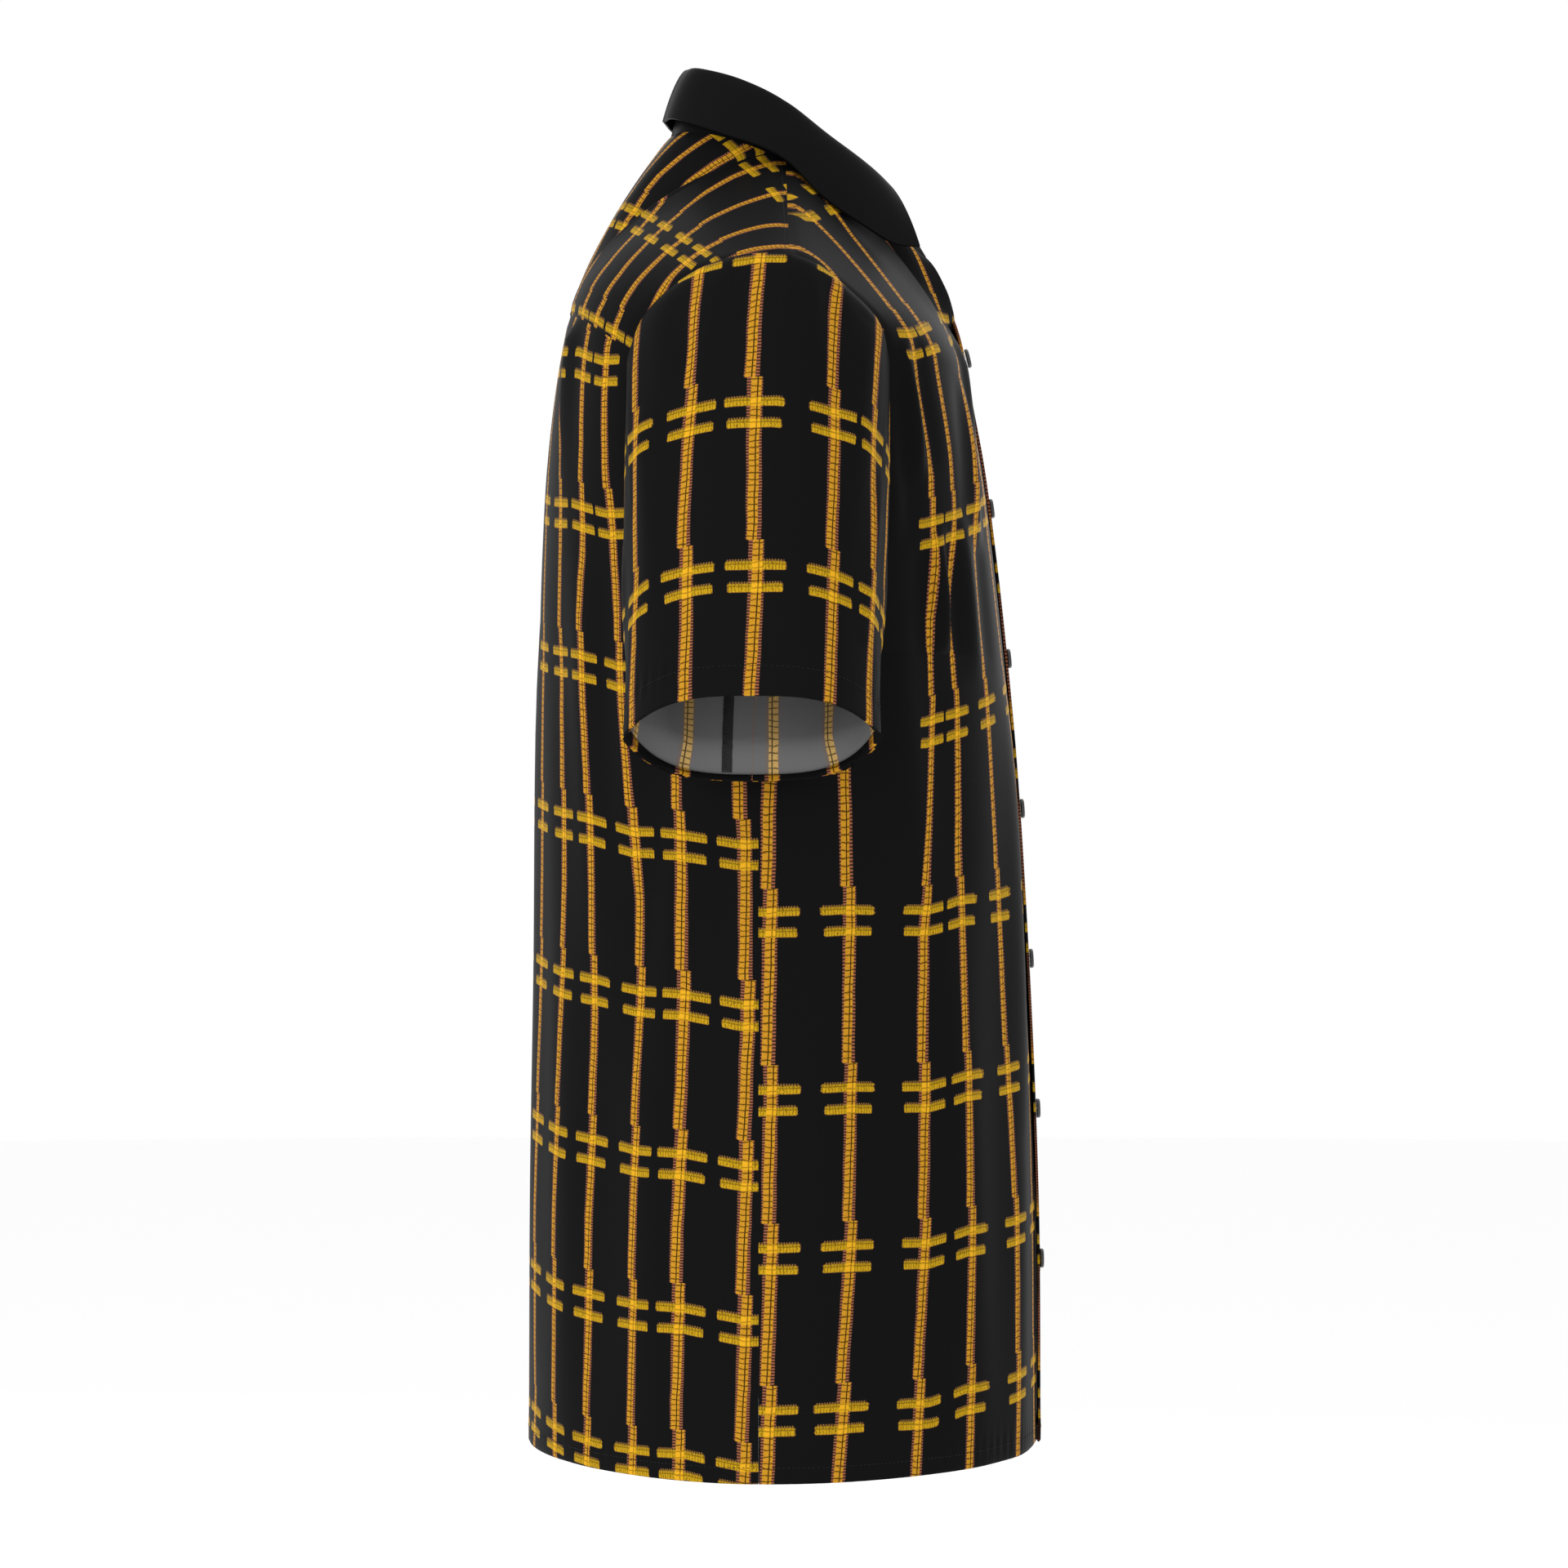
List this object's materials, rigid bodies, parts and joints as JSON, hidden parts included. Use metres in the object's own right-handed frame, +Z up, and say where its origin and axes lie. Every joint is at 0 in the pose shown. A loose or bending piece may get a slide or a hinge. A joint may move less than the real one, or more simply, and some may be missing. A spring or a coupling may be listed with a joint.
{
  "type": "button-down shirt",
  "caption": "Short-sleeved button-up shirt in its worn shape with no wearer, hollow through hem, neck and cuffs, with a turned-down collar worn open.",
  "frame": {"origin": "midway between the two points where the shoulder seams meet the collar's lower edge, inside the neck", "axes": "+Z up, +X towards the wearer's left, -Y the front that the wearer faces"},
  "size_m": [0.68, 0.3026, 0.8038],
  "materials": {
    "printed_cloth": "smooth black polyester with a soft satin sheen, printed with gold stripes made of long dashes and paired short crossbars",
    "plain_cloth": "the same black polyester without the print",
    "button": "black four-hole shirt buttons"
  },
  "bodies": {
    "root": {"back_panel": "printed_cloth", "yoke": "printed_cloth", "front_right": "printed_cloth", "front_left": "printed_cloth", "sleeve_right": "printed_cloth", "sleeve_left": "printed_cloth", "collar_stand": "plain_cloth", "collar_fall": "plain_cloth", "button_collar": "button", "button_front_1": "button", "button_front_2": "button", "button_front_3": "button", "button_front_4": "button", "button_front_5": "button", "button_front_6": "button", "button_front_7": "button"}
  },
  "joints": []
}
